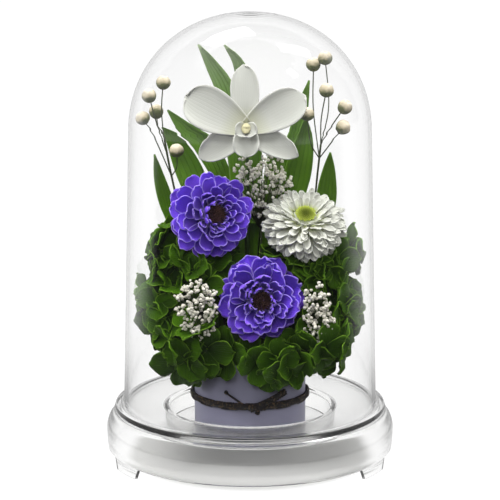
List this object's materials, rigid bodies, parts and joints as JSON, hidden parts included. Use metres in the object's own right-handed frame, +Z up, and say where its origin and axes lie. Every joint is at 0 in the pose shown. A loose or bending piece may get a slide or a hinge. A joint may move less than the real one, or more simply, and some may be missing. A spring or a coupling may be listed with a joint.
{
  "type": "flower_arrangement",
  "caption": "Preserved flower arrangement in a round pot under a clear dome on a clear footed base",
  "frame": {"origin": "center of the base, on the surface that its three feet stand on", "axes": "+Z up through the dome's crown, -Y the front of the arrangement, +X to its right as seen from the front"},
  "size_m": [0.152, 0.152, 0.236],
  "materials": {
    "clear_plastic": "clear gloss",
    "lavender_glaze": "satin glaze",
    "floral_foam": "matt foam",
    "dark_braid": "braided",
    "violet_petal": "velvety petal",
    "dark_disc": "rough",
    "green_stem": "matt",
    "white_petal": "satin petal",
    "lime_disc": "rough",
    "cream_column": "waxy",
    "green_leaf": "satin leaf",
    "green_floret": "soft petal",
    "cream_bud": "dry",
    "tiny_white_flower": "dry"
  },
  "bodies": {
    "root": {"dome": "clear_plastic", "base": "clear_plastic", "pot": "lavender_glaze", "foam": "floral_foam", "cord": "dark_braid", "dahlia_upper_petals": "violet_petal", "dahlia_upper_disc": "dark_disc", "dahlia_upper_stem": "green_stem", "dahlia_lower_petals": "violet_petal", "dahlia_lower_disc": "dark_disc", "dahlia_lower_stem": "green_stem", "chrysanthemum_petals": "white_petal", "chrysanthemum_disc": "lime_disc", "chrysanthemum_stem": "green_stem", "orchid_petals": "white_petal", "orchid_column": "cream_column", "orchid_stem": "green_stem", "leaf_top_left": "green_leaf", "leaf_top_middle": "green_leaf", "leaf_upper_left": "green_leaf", "leaf_left": "green_leaf", "leaf_far_left": "green_leaf", "leaf_top_right": "green_leaf", "leaf_right": "green_leaf", "leaf_far_right": "green_leaf", "leaf_middle": "green_leaf", "buds_left": "cream_bud", "buds_right": "cream_bud", "babys_breath_left": "tiny_white_flower", "babys_breath_right": "tiny_white_flower", "babys_breath_back": "tiny_white_flower", "hydrangea_front": "green_floret", "hydrangea_front_left": "green_floret", "hydrangea_front_right": "green_floret", "hydrangea_left_low": "green_floret", "hydrangea_left_high": "green_floret", "hydrangea_right_low": "green_floret", "hydrangea_right_high": "green_floret", "hydrangea_middle_left": "green_floret", "hydrangea_middle_right": "green_floret", "hydrangea_back_left": "green_floret", "hydrangea_back": "green_floret", "hydrangea_back_right": "green_floret", "hydrangea_back_high": "green_floret"}
  },
  "joints": []
}
